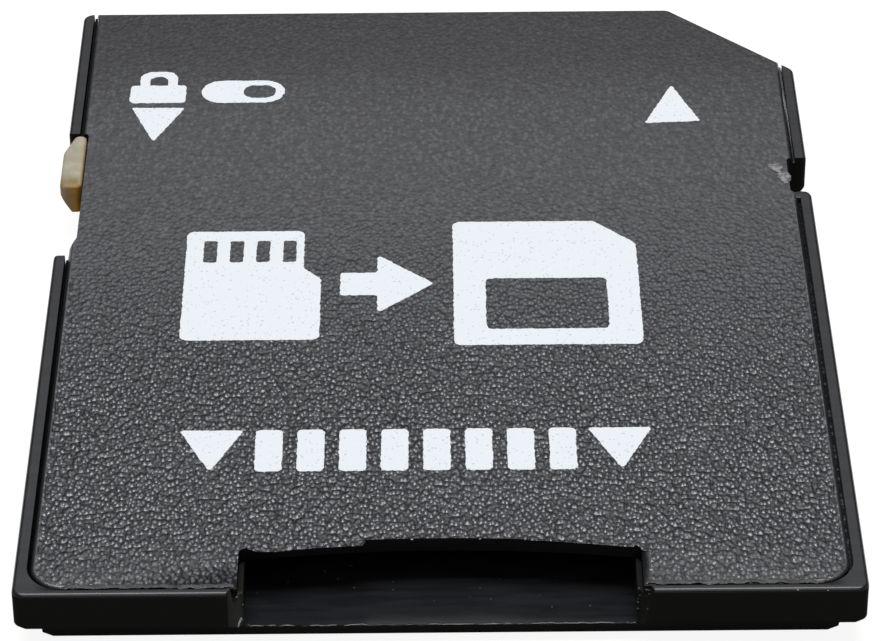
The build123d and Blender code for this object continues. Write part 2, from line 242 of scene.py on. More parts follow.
def addBump(tree, shader, height, distanceMm):
    bump = addNode(tree, "ShaderNodeBump")
    bump.inputs["Distance"].default_value = distanceMm * mm
    tree.links.new(height, bump.inputs["Height"])
    tree.links.new(bump.outputs[0], shader.inputs["Normal"])


def mottle(tree, place, size, low=0.0, high=1.0):
    return placeGroup(tree, mottleGroup, place, Size_mm=size, Low=low, High=high).outputs[0]


def glossOf(tree, place, look):
    return mottle(tree, place, look["glossSize"], look["roughnessLow"], look["roughnessHigh"])


def feed(tree, shader, **sockets):
    for key, socket in sockets.items():
        tree.links.new(socket, shader.inputs[key.replace("_", " ")])


coverLook = {
    "colour": (0.021, 0.0218, 0.0265, 1), "worn": (0.028, 0.0290, 0.0345, 1), "wornSize": 6.0,
    "paintedTipHighlight": (0.132, 0.1370, 0.1530, 1),                  # painted highlight: the grain's tips are coloured paler where they would catch the lamp
    "middle": (0.012, 0.0127, 0.0180, 1), "middleTipHighlight": (0.084, 0.0870, 0.0965, 1),
    "farShade": (0.0, 0.0, 0.0015, 1), "farTipHighlight": (0.033, 0.0342, 0.0430, 1),
    "farFrom": 25.0, "farTo": 29.5,                       # painted shade: darker towards the contact end
    "roughnessLow": 0.20, "roughnessHigh": 0.28, "glossSize": 1.2, "specular": 0.85,
    "grainSpacing": 0.187, "grainStretch": (1.40, 1.0, 1.0), "grainDepth": 0.075,
    "crestLow": -0.35, "crestHigh": 0.01,                 # heights between which a tip takes its painted highlight
    "blotchSize": 0.34, "blotchStretch": (1.9, 1.0, 1.0), "dotSpacing": 0.30, "dotShare": 0.6,
    "marginX": 11.42, "marginFade": 0.10,                 # smooth margin beside the rim
    "softFrom": 9.0, "softTo": 23.5, "softShare": 0.12,   # grain worn softer towards the contact end
    "endFrom": 0.3, "endTo": 3.0, "endShare": 0.65,       # and a little at the slot end
}


def makeCoverMaterial(look):
    material, tree, shader, place = startMaterial(
        "grained black", Base_Color=look["colour"], Specular_IOR_Level=look["specular"])
    grain = placeGroup(tree, grainGroup, stretched(tree, place, look["grainStretch"]),
                       Spacing_mm=look["grainSpacing"]).outputs["Height"]
    wide = stretched(tree, place, look["blotchStretch"])
    dots = placeGroup(tree, grainGroup, wide, Spacing_mm=look["dotSpacing"]).outputs["Height"]
    # in the soft zone the tips' painted highlight spreads over blurred blotches and dots
    softTipHighlights = mixValue(tree, look["dotShare"], mottle(tree, wide, look["blotchSize"]),
                       mapRange(tree, dots, look["crestLow"], look["crestHigh"]))
    parts = splitVector(tree, place)
    farShadeShare = mapAlong(tree, parts["Y"], look["farFrom"], look["farTo"])
    worn = mapAlong(tree, parts["Y"], look["softFrom"], look["softTo"])
    plain = mixColour(tree, mottle(tree, place, look["wornSize"]), look["colour"], look["worn"])
    plain = mixColour(tree, worn, plain, look["middle"])
    # painted shade: the colour darkens towards the contact end
    plain = mixColour(tree, farShadeShare, plain, look["farShade"])
    # painted highlight on the grain's tips, weaker in the middle and dimmer at the contact end
    paintedTipHighlight = mixColour(tree, worn, look["paintedTipHighlight"], look["middleTipHighlight"])
    paintedTipHighlight = mixColour(tree, farShadeShare, paintedTipHighlight, look["farTipHighlight"])
    tipHighlightShare = mixValue(tree, worn, mapRange(tree, grain, look["crestLow"], look["crestHigh"]), softTipHighlights)
    feed(tree, shader, Base_Color=mixColour(tree, tipHighlightShare, plain, paintedTipHighlight), Roughness=glossOf(tree, place, look))
    across = mathNode(tree, "ABSOLUTE", parts["X"])
    margin = mapPlace(tree, across, look["marginX"], look["marginX"] - look["marginFade"])
    slotEnd = mapAlong(tree, parts["Y"], look["endFrom"], look["endTo"], look["endShare"], 1.0)
    share = mathNode(tree, "MULTIPLY", margin, mixValue(tree, worn, slotEnd, look["softShare"]))
    addBump(tree, shader, mathNode(tree, "MULTIPLY", grain, share), look["grainDepth"])
    return material


# the plate's other faces: its smooth rounded edge, its torn edge and its matt upright walls, whose
# near-black colour is painted shade
edgeLook = {"name": "plate edge", "colour": coverLook["colour"], "specular": coverLook["specular"],
            "glossSize": 0.8, "roughnessLow": 0.22, "roughnessHigh": 0.36,
            "grainSize": 0.35, "grainDepth": 0.010}
# the torn edge's pale patches are painted glints along the plate's lip
tornLook = {"name": "torn edge with painted glints", "colour": (0.012, 0.012, 0.014, 1), "pale": (0.060, 0.063, 0.070, 1),
            "patchSize": 0.5, "specular": 0.45,
            "glossSize": 0.8, "roughnessLow": 0.38, "roughnessHigh": 0.60,
            "grainSize": 0.15, "grainDepth": 0.020}
shadedWallLook = {"name": "shaded cut wall", "colour": (0.004, 0.004, 0.004, 1), "specular": 0.06,
            "glossSize": 0.6, "roughnessLow": 0.4, "roughnessHigh": 0.6,
            "grainSize": 0.12, "grainDepth": 0.004}


def makePlateEdgeMaterial(look):
    material, tree, shader, place = startMaterial(
        look["name"], Base_Color=look["colour"], Specular_IOR_Level=look["specular"])
    feed(tree, shader, Roughness=glossOf(tree, place, look))
    # pale patches; on the torn edge these are painted glints
    if "pale" in look:
        patches = mottle(tree, place, look["patchSize"])
        feed(tree, shader, Base_Color=mixColour(tree, patches, look["colour"], look["pale"]))
    addBump(tree, shader, mottle(tree, place, look["grainSize"]), look["grainDepth"])
    return material


shellLook = {
    "colour": (0.0190, 0.0192, 0.0165, 1), "specular": 0.012,
    "upper": (0.0115, 0.0122, 0.0145, 1), "streak": (0.0190, 0.0205, 0.0240, 1),
    "streakStretch": (0.22, 1.6, 1.0), "streakSize": 0.45,        # wiping streaks across the slot's floor
    "innerWallHighlight": (0.100, 0.100, 0.104, 1), "innerSides": (11.2, 11.3),
    "innerTilt": (-0.5, -0.9),                                    # the rim's wall that faces the plate, painted paler: painted highlight
    "jamb": (0.060, 0.060, 0.055, 1), "jambSides": (-5.98, -5.50), "jambFade": (0.06, 0.04),
    "jambBack": (0.75, 0.55), "jambFoot": (0.62, 0.72),           # the paler front of the left jamb
    "dust": (0.16, 0.15, 0.14, 1), "dustSpacing": 0.7, "dustShare": 0.07,
    "roughnessLow": 0.30, "roughnessHigh": 0.45, "glossSize": 1.5,
    "roughnessUnder": 0.9, "underTilt": (-0.15, -0.45),           # the underside is dull
    "coat": 0.60, "coatRoughness": 0.17, "coatIor": 1.65,
    "dullCoat": 0.10, "dullSides": (11.5, 10.9), "dullEnd": (0.12, 0.26),     # the rim beside the plate
    "floorHeights": (0.95, 0.75), "rimHeights": (1.80, 1.95),     # only floor and rim take the upper colour and coat; the ledge between stays dull as painted shade
    "rollWidth": 0.36, "rollDepth": 0.125,                        # the slot end's rim rolls to its edge
    "waveSize": 0.5, "waveDepth": 0.004,
}


def makeShellMaterial(look):
    material, tree, shader, place = startMaterial(
        "smooth black", Base_Color=look["colour"], Specular_IOR_Level=look["specular"],
        Coat_Roughness=look["coatRoughness"], Coat_IOR=look["coatIor"])
    parts = splitVector(tree, place)
    normal = addNode(tree, "ShaderNodeNewGeometry").outputs["Normal"]
    tilt = splitVector(tree, normal)
    upward = placeGroup(tree, upwardGroup)
    tree.links.new(normal, upward.inputs["Normal"])
    onFloor = mapPlace(tree, parts["Z"], *look["floorHeights"])
    onRim = mapPlace(tree, parts["Z"], *look["rimHeights"])
    # painted light: upper faces of slot floor and rim take their own colour and the coat, other faces a
    # matt colour of their own, tone set by facing to match the light; the seat ledge is left dull and dark
    # as painted shade
    litUpperFaces = mathNode(tree, "MULTIPLY", upward.outputs[0], mathNode(tree, "MAXIMUM", onFloor, onRim))
    streaks = mottle(tree, stretched(tree, place, look["streakStretch"]), look["streakSize"])
    upper = mixColour(tree, streaks, look["upper"], look["streak"])
    plain = mixColour(tree, litUpperFaces, look["colour"], upper)
    # painted highlight on the right-hand rim's wall that faces the plate
    facing = mapRange(tree, tilt["X"], *look["innerTilt"])
    outer = mapPlace(tree, parts["X"], *look["innerSides"])
    plain = mixColour(tree, mathNode(tree, "MULTIPLY", facing, outer), plain, look["innerWallHighlight"])
    left, right = look["jambSides"]
    leftFade, rightFade = look["jambFade"]
    jamb = mathNode(tree, "MULTIPLY", mapPlace(tree, parts["X"], left, left + leftFade),
                    mapPlace(tree, parts["X"], right + rightFade, right))
    forward = mapAlong(tree, parts["Y"], *look["jambBack"])
    above = mapPlace(tree, parts["Z"], *look["jambFoot"])
    jamb = mathNode(tree, "MULTIPLY", jamb, mathNode(tree, "MULTIPLY", forward, above))
    plain = mixColour(tree, jamb, plain, look["jamb"])
    across = mathNode(tree, "ABSOLUTE", parts["X"])
    dull = mathNode(tree, "MULTIPLY", onRim, mapPlace(tree, across, *look["dullSides"]))
    dull = mathNode(tree, "MULTIPLY", dull, mapAlong(tree, parts["Y"], *look["dullEnd"]))
    coat = mathNode(tree, "MULTIPLY", litUpperFaces, mixValue(tree, dull, look["coat"], look["dullCoat"]))
    under = mapRange(tree, tilt["Z"], *look["underTilt"])
    rough = mixValue(tree, under, glossOf(tree, place, look), look["roughnessUnder"])
    specks = placeGroup(tree, dustGroup, place, Spacing_mm=look["dustSpacing"],
                        Speck_share=look["dustShare"])
    feed(tree, shader, Roughness=rough, Coat_Weight=coat,
         Base_Color=mixColour(tree, specks.outputs[0], plain, look["dust"]))
    inward = mathNode(tree, "SUBTRACT", (look["rollWidth"] - halfLength) * mm, parts["Y"])
    roll = mathNode(tree, "DIVIDE", inward, look["rollWidth"] * mm, clamp=True)
    rolled = mathNode(tree, "MULTIPLY", mathNode(tree, "MULTIPLY", roll, roll), -look["rollDepth"])
    waves = mathNode(tree, "MULTIPLY", mottle(tree, place, look["waveSize"]), look["waveDepth"])
    addBump(tree, shader, mathNode(tree, "ADD", rolled, waves), 1.0)
    return material


sliderLook = {
    "top": (0.420, 0.385, 0.300, 1), "side": (0.50, 0.37, 0.205, 1), "roughness": 0.55,
    "amber": (0.72, 0.345, 0.045, 1), "amberSides": (-11.92, -11.58),     # amber where it is thick
    "yellow": (0.27, 0.20, 0.085, 1), "yellowRange": (21.90, 21.35),      # near end of its top
    "innerEdge": (-11.58, -11.40), "topHeights": (2.00, 1.85), "endTilt": (-0.45, -0.90),
    "stainSize": 0.5, "stainLow": 0.88, "stainHigh": 1.10, "grainSize": 0.12, "grainDepth": 0.004,
}


def makeSliderMaterial(look):
    material, tree, shader, place = startMaterial("tan slider", Roughness=look["roughness"])
    parts = splitVector(tree, place)
    tilt = splitVector(tree, addNode(tree, "ShaderNodeNewGeometry").outputs["Normal"])
    nearEnd = mapRange(tree, tilt["Y"], *look["endTilt"])
    low = mapPlace(tree, parts["Z"], *look["topHeights"])
    end = mixColour(tree, mapPlace(tree, parts["X"], *look["amberSides"]), look["side"], look["amber"])
    top = mixColour(tree, mapAlong(tree, parts["Y"], *look["yellowRange"]), look["top"], look["yellow"])
    top = mixColour(tree, mapPlace(tree, parts["X"], *look["innerEdge"]), top, look["side"])
    shade = addNode(tree, "ShaderNodeHueSaturation")
    lower = mathNode(tree, "MAXIMUM", nearEnd, low)
    tree.links.new(mixColour(tree, lower, top, end), shade.inputs["Color"])
    stain = mottle(tree, place, look["stainSize"], look["stainLow"], look["stainHigh"])
    tree.links.new(stain, shade.inputs["Value"])
    feed(tree, shader, Base_Color=shade.outputs[0])
    addBump(tree, shader, mottle(tree, place, look["grainSize"]), look["grainDepth"])
    return material


carrierLook = {"colour": (0.012, 0.012, 0.012, 1), "pale": (0.020, 0.020, 0.020, 1), "roughness": 0.5,
               "patchSize": 2.0, "grainSize": 0.1, "grainDepth": 0.004}


def makeCarrierMaterial(look):
    material, tree, shader, place = startMaterial("carrier black", Roughness=look["roughness"])
    patches = mottle(tree, place, look["patchSize"])
    feed(tree, shader, Base_Color=mixColour(tree, patches, look["colour"], look["pale"]))
    addBump(tree, shader, mottle(tree, place, look["grainSize"]), look["grainDepth"])
    return material


goldLook = {"colour": (0.83, 0.60, 0.26, 1), "dull": (0.62, 0.42, 0.20, 1), "patchSize": 1.5,
            "glossSize": 0.8, "roughnessLow": 0.18, "roughnessHigh": 0.38,
            "rollStretch": (6.0, 0.4, 1.0),         # rolling marks run along the strip
            "rollSize": 0.3, "rollDepth": 0.003}


def makeGoldMaterial(look):
    material, tree, shader, place = startMaterial("gold plate", Metallic=1.0)
    patches = mottle(tree, place, look["patchSize"])
    feed(tree, shader, Base_Color=mixColour(tree, patches, look["colour"], look["dull"]),
         Roughness=glossOf(tree, place, look))
    rolled = mottle(tree, stretched(tree, place, look["rollStretch"]), look["rollSize"])
    addBump(tree, shader, rolled, look["rollDepth"])
    return material


inkLook = {"colour": (0.905, 0.955, 1.0, 1), "thin": (0.66, 0.73, 0.80, 1),     # thin where it has pinholes
           "roughness": 0.6, "specular": 0.3,
           "speckSpacing": 0.13, "speckShare": 0.38, "grainDepth": 0.010}


def makeInkMaterial(look):
    material, tree, shader, place = startMaterial(
        "white ink", Roughness=look["roughness"], Specular_IOR_Level=look["specular"])
    specks = placeGroup(tree, dustGroup, place, Spacing_mm=look["speckSpacing"],
                        Speck_share=look["speckShare"])
    grain = placeGroup(tree, grainGroup, place, Spacing_mm=coverLook["grainSpacing"])
    feed(tree, shader, Base_Color=mixColour(tree, specks.outputs[0], look["colour"], look["thin"]))
    addBump(tree, shader, grain.outputs["Height"], look["grainDepth"])
    return material


crumbFinish = {"roughness": 0.5, "patchSize": 0.15, "bump": 0.01}
fleckLook = {"name": "torn flecks", "colour": (0.34, 0.34, 0.35, 1), "dark": (0.10, 0.10, 0.10, 1)}
dustLook = {"name": "slot dust", "colour": (0.10, 0.10, 0.095, 1), "dark": (0.045, 0.045, 0.043, 1)}
# pale crumbs, also used for painted glints on burrs and nicks
crumbGlintLook = {"name": "crumbs and painted glints", "colour": (0.55, 0.57, 0.58, 1), "dark": (0.30, 0.31, 0.30, 1)}


def makeFleckMaterial(look):
    material, tree, shader, place = startMaterial(look["name"], Roughness=crumbFinish["roughness"])
    patches = mottle(tree, place, crumbFinish["patchSize"])
    feed(tree, shader, Base_Color=mixColour(tree, patches, look["colour"], look["dark"]))
    addBump(tree, shader, patches, crumbFinish["bump"])
    return material


coverMaterial = makeCoverMaterial(coverLook)
coverEdgeMaterial = makePlateEdgeMaterial(edgeLook)
tornGlintEdgeMaterial = makePlateEdgeMaterial(tornLook)
shadedWallMaterial = makePlateEdgeMaterial(shadedWallLook)
shellMaterial = makeShellMaterial(shellLook)
sliderMaterial = makeSliderMaterial(sliderLook)
carrierMaterial = makeCarrierMaterial(carrierLook)
goldMaterial = makeGoldMaterial(goldLook)
inkMaterial = makeInkMaterial(inkLook)
fleckMaterial = makeFleckMaterial(fleckLook)
dustMaterial = makeFleckMaterial(dustLook)
crumbGlintMaterial = makeFleckMaterial(crumbGlintLook)

nodeMaterials = {"bottom_shell": shellMaterial, "top_cover": coverMaterial,
                 "lock_slider": sliderMaterial, "contact_carrier": carrierMaterial}
for name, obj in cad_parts.items():
    chosen = nodeMaterials.get(name, goldMaterial)
    for slot in obj.material_slots:
        slot.material = chosen
print("materials assigned to", len(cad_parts), "nodes")


def makePiece(name, mesh, materials, body="adapter"):
    mesh.name = name
    if len(mesh.materials) == 0:      # Set Material has already filled a lump mesh's slot
        for material in materials:
            mesh.materials.append(material)
    piece = bpy.data.objects.new(name, mesh)
    bpy.context.collection.objects.link(piece)
    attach(piece, body)
    return piece


def meshFrom(name, form, sharpAngle=None):
    mesh = bpy.data.meshes.new(name)
    form.to_mesh(mesh)
    form.free()
    if sharpAngle is not None:
        mesh.set_sharp_from_angle(angle=math.radians(sharpAngle))
    return mesh


def evaluatedMesh(holder):
    bpy.context.view_layer.update()
    return bpy.data.meshes.new_from_object(holder.evaluated_get(bpy.context.evaluated_depsgraph_get()))


def shortSteps(path, step):
    points = []
    for here, after in zip(path, path[1:]):
        count = max(1, round(math.dist(here, after) / step))
        points += [Vector(here).lerp(Vector(after), part / count) for part in range(count)]
    return points + [Vector(path[-1])]


def joinRings(form, rings):
    # skins closed rings of points and caps both ends
    count = len(rings[0])
    for before, following in zip(rings, rings[1:]):
        for step in range(count):
            after = (step + 1) % count
            form.faces.new((before[step], before[after], following[after], following[step]))
    form.faces.new(rings[0][::-1])
    form.faces.new(rings[-1])
    bmesh.ops.recalc_face_normals(form, faces=form.faces)


# the plate, with its grain on the flat face alone

plateFinish = {"flat": 0.995, "wall": 0.25, "merge": 0.0005, "sharpAngle": 35,
               "lowest": 0.12}          # faces further below the label face take the near-black wall colour, painted shade


def makePlate(look):
    form = bmesh.new()
    form.from_mesh(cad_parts["top_cover"].data)
    bmesh.ops.remove_doubles(form, verts=form.verts, dist=look["merge"] * mm)
    for face in form.faces:
        rise = face.normal.z
        middle = face.calc_center_median()
        # low faces and upright walls get the near-black wall colour as painted shade
        low = middle.z < (topHeight - look["lowest"]) * mm and (middle.x < 0 or rise < look["wall"])
        face.material_index = 2 if low or rise < look["wall"] else 0 if rise > look["flat"] else 1
        face.smooth = True
    mesh = meshFrom("plate", form, look["sharpAngle"])
    return makePiece("plate", mesh, [coverMaterial, coverEdgeMaterial, shadedWallMaterial])


plate = makePlate(plateFinish)
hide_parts("top_cover")
print("plate dressed,", len(plate.data.polygons), "faces")


# printed signs

printSizes = {
    "thickness": 0.008, "sink": 0.002,               # ink film above and below the label face
    "step": 0.06, "wander": 0.030, "wave": 0.09,     # the edge breaks up over the grain
    "cornerRadius": 0.12, "smallestRadius": 0.01, "seed": 5,
}
noise.seed_set(printSizes["seed"])       # noise_vector would otherwise change with each run


def roundedLoop(corners, radius):
    loop = []
    count = len(corners)
    for index, corner in enumerate(corners):
        here = Vector(corner[:2])
        size = corner[2] if len(corner) > 2 else radius      # a corner may carry its own radius
        toBefore = Vector(corners[index - 1][:2]) - here
        toAfter = Vector(corners[(index + 1) % count][:2]) - here
        half = toBefore.angle(toAfter) / 2
        reach = min(size / math.tan(half), toBefore.length * 0.49, toAfter.length * 0.49)
        size = reach * math.tan(half)
        if size < printSizes["smallestRadius"]:
            loop.append(here)
            continue
        middle = here + (toBefore.normalized() + toAfter.normalized()).normalized() * size / math.sin(half)
        first = here + toBefore.normalized() * reach - middle
        last = here + toAfter.normalized() * reach - middle
        turn = first.angle_signed(last)
        steps = max(2, int(abs(turn) * size / printSizes["step"]) + 2)
        for step in range(steps + 1):
            loop.append(middle + Matrix.Rotation(-turn * step / steps, 2) @ first)
    return loop


def boxLoop(xLow, yLow, xHigh, yHigh, radius=None):
    radius = printSizes["cornerRadius"] if radius is None else radius
    return roundedLoop([(xLow, yLow), (xHigh, yLow), (xHigh, yHigh), (xLow, yHigh)], radius)


def brokenEdge(loop):
    # resampled in short steps, each point moved a little over the grain
    points = []
    for here, after in zip(loop, loop[1:] + loop[:1]):
        steps = max(1, round((after - here).length / printSizes["step"]))
        points += [here.lerp(after, step / steps) for step in range(steps)]
    moved = []
    for point in points:
        shift = noise.noise_vector(Vector((point.x, point.y, 0)) / printSizes["wave"])
        moved.append(point + Vector((shift.x, shift.y)) * printSizes["wander"])
    return moved


def makePrint(name, loops):
    # drawn flat in millimetres, filled as a curve, then set on the label face
    curve = bpy.data.curves.new(name, "CURVE")
    curve.dimensions = "2D"
    curve.fill_mode = "BOTH"
    half = (printSizes["thickness"] + printSizes["sink"]) / 2
    curve.extrude = half
    for loop in loops:
        points = brokenEdge(loop)
        spline = curve.splines.new("POLY")
        spline.points.add(len(points) - 1)
        for place, point in zip(spline.points, points):
            place.co = (point.x, point.y, 0, 1)
        spline.use_cyclic_u = True
    holder = bpy.data.objects.new(name + "_drawn", curve)
    bpy.context.collection.objects.link(holder)
    mesh = evaluatedMesh(holder)
    bpy.data.objects.remove(holder)
    middle = topHeight + printSizes["thickness"] - half
    mesh.transform(Matrix.Scale(mm, 4) @ Matrix.Translation((0, -halfLength, middle)))
    return makePiece(name, mesh, [inkMaterial])


lockArrow = {"corners": [(-10.03, 25.83), (-9.22, 23.70), (-8.27, 25.80)], "radius": 0.06}
insertArrow = {"corners": [(6.87, 24.63), (8.69, 24.74), (7.86, 27.02)], "radius": 0.06}
padlock = {"x": -9.20, "bottom": 26.12, "width": 1.85, "bodyHeight": 1.10,
           "shackleWidth": 1.25, "shackleStroke": 0.32, "top": 28.10,
           "footRadius": 0.15, "bodyRadius": 0.12, "innerRadius": 0.02, "roundness": 0.9}
slideSign = {"left": -7.75, "right": -5.00, "bottom": 26.10, "top": 27.50, "stroke": 0.30,
             "knobLength": 1.1, "outerRoundness": 0.98, "innerRoundness": 0.9}


def padlockLoop(sign):
    # body and shackle in one outline
    half = sign["width"] / 2
    bottom, bodyTop, top = sign["bottom"], sign["bottom"] + sign["bodyHeight"], sign["top"]
    outer = sign["shackleWidth"] / 2
    inner = outer - sign["shackleStroke"]
    rim = top - sign["shackleStroke"]
    x = sign["x"]
    foot, body, sharp = sign["footRadius"], sign["bodyRadius"], sign["innerRadius"]
    outerBow, innerBow = outer * sign["roundness"], inner * sign["roundness"]
    outside = roundedLoop([
        (x - half, bottom, foot), (x + half, bottom, foot), (x + half, bodyTop, body),
        (x + outer, bodyTop, sharp), (x + outer, top, outerBow), (x - outer, top, outerBow),
        (x - outer, bodyTop, sharp), (x - half, bodyTop, body)], body)
    inside = roundedLoop([
        (x - inner, bodyTop, sharp), (x + inner, bodyTop, sharp), (x + inner, rim, innerBow),
        (x - inner, rim, innerBow)], body)
    return [outside, inside]


def slideLoops(sign):
    # a sliding switch drawn as a pill with its knob at one end
    radius = (sign["top"] - sign["bottom"]) / 2
    stroke = sign["stroke"]
    outer = boxLoop(sign["left"], sign["bottom"], sign["right"], sign["top"],
                    radius * sign["outerRoundness"])
    inner = boxLoop(sign["left"] + stroke + sign["knobLength"], sign["bottom"] + stroke,
                    sign["right"] - stroke, sign["top"] - stroke,
                    (radius - stroke) * sign["innerRoundness"])
    return [outer, inner]


makePrint("print_lock_arrow", [roundedLoop(lockArrow["corners"], lockArrow["radius"])])
makePrint("print_insert_arrow", [roundedLoop(insertArrow["corners"], insertArrow["radius"])])
makePrint("print_padlock", padlockLoop(padlock))
makePrint("print_slide_sign", slideLoops(slideSign))

cardSign = {
    "smallLeft": -7.85, "smallRight": -3.60, "smallBottom": 12.35, "smallTop": 18.35,
    "wideTo": 3.3, "narrowFrom": 3.9, "stepIn": 0.55,             # its side steps in at these heights
    "bars": 4, "barLeft": 0.55, "barPitch": 0.83, "barWidth": 0.42, "barLow": 1.75, "barHigh": 0.55,
    "arrowLeft": -3.00, "arrowRight": -0.10, "arrowMiddle": 15.35,
    "shaftLength": 1.15, "shaftHalf": 0.62, "headHalf": 1.6,
    "bigLeft": 0.50, "bigRight": 6.25, "bigBottom": 12.00, "bigTop": 18.80, "cutCorner": 1.3,
    "windowSide": 1.0, "windowLow": 0.85, "windowHigh": 3.6,
    "cardRadius": 0.25, "barRadius": 0.08, "arrowRadius": 0.08, "windowRadius": 0.2,
}


def cardSignLoops(sign):
    # a small card, an arrow, and the adapter that it goes into
    left, right = sign["smallLeft"], sign["smallRight"]
    bottom, top = sign["smallBottom"], sign["smallTop"]
    inner = right - sign["stepIn"]
    loops = [roundedLoop([
        (left, bottom), (right, bottom), (right, bottom + sign["wideTo"]),
        (inner, bottom + sign["narrowFrom"]), (inner, top), (left, top)], sign["cardRadius"])]
    for bar in range(sign["bars"]):
        x = left + sign["barLeft"] + bar * sign["barPitch"]
        loops.append(boxLoop(x, top - sign["barLow"], x + sign["barWidth"], top - sign["barHigh"],
                             sign["barRadius"]))
    start, tip, middle = sign["arrowLeft"], sign["arrowRight"], sign["arrowMiddle"]
    neck, shaft, head = start + sign["shaftLength"], sign["shaftHalf"], sign["headHalf"]
    loops.append(roundedLoop([
        (start, middle - shaft), (neck, middle - shaft), (neck, middle - head), (tip, middle),
        (neck, middle + head), (neck, middle + shaft), (start, middle + shaft)], sign["arrowRadius"]))
    left, right = sign["bigLeft"], sign["bigRight"]
    bottom, top, cut = sign["bigBottom"], sign["bigTop"], sign["cutCorner"]
    loops.append(roundedLoop([(left, bottom), (right, bottom), (right, top - cut), (right - cut, top),
                              (left, top)], sign["cardRadius"]))
    loops.append(boxLoop(left + sign["windowSide"], bottom + sign["windowLow"], right - sign["windowSide"],
                         bottom + sign["windowHigh"], sign["windowRadius"]))
    return loops


makePrint("print_card_sign", cardSignLoops(cardSign))

contactRow = {"left": -7.63, "right": 6.28, "bottom": 5.68, "top": 7.72, "bars": 8, "barWidth": 0.80,
              "barRadius": 0.15, "arrowWidth": 1.9, "arrowRadius": 0.08, "gap": 0.35}


def contactRowLoops(row):
    # eight contact bars between two arrows that point at the slot
    loops = []
    bottom, top = row["bottom"], row["top"]
    for x in (row["left"], row["right"] - row["arrowWidth"]):
        middle = x + row["arrowWidth"] / 2
        loops.append(roundedLoop([(x, top), (middle, bottom), (x + row["arrowWidth"], top)],
                                 row["arrowRadius"]))
    start = row["left"] + row["arrowWidth"] + row["gap"]
    room = row["right"] - row["arrowWidth"] - row["gap"] - start
    pitch = (room - row["barWidth"]) / (row["bars"] - 1)
    for bar in range(row["bars"]):
        x = start + bar * pitch
        loops.append(boxLoop(x, bottom, x + row["barWidth"], top, row["barRadius"]))
    return loops


makePrint("print_contact_row", contactRowLoops(contactRow))
print("printed signs made")


# flash: thin torn films along the cut-out's back edge

flashFilms = {
    "left": [(-5.55, 2.30), (-5.45, 2.05), (-5.20, 1.92), (-4.70, 1.905), (-4.20, 1.98), (-3.45, 2.07),
             (-2.80, 2.12), (-2.20, 2.16), (-2.11, 2.37), (-2.00, 2.60)],
    "right": [(2.20, 2.55), (2.40, 2.36), (3.20, 2.29), (4.20, 2.16), (5.07, 2.04), (5.48, 2.01),
              (5.56, 2.30)],
    "low": 2.03, "high": 2.094, "backFrom": 2.3, "backShift": 0.45, "lipDrop": 0.004, "footShift": 0.01,
    "step": 0.07, "wave": 0.12, "push": 0.02, "noiseRow": 3.1, "flat": 0.8,
}


def makeFilm(name, front, sizes):
    form = bmesh.new()
    rings = []
    low, high = sizes["low"], sizes["high"]
    for point in shortSteps(front, sizes["step"]):
        push = sizes["push"] * noise.noise(Vector((point.x, 0, sizes["noiseRow"])) / sizes["wave"])
        lip = point.y + push
        back = max(point.y, sizes["backFrom"]) + sizes["backShift"]
        rings.append([form.verts.new(cardPoint(point.x, y, z)) for y, z in (
            (back, high), (lip, high - sizes["lipDrop"]), (lip + sizes["footShift"], low), (back, low))])
    joinRings(form, rings)
    for face in form.faces:
        face.material_index = 0 if face.normal.z > sizes["flat"] else 1
    return makePiece(name, meshFrom(name, form), [coverMaterial, shadedWallMaterial])


makeFilm("flash_left", flashFilms["left"], flashFilms)
makeFilm("flash_right", flashFilms["right"], flashFilms)
print("flash along the cut-out made")


# flecks, dust and specks: one lump tree set on points

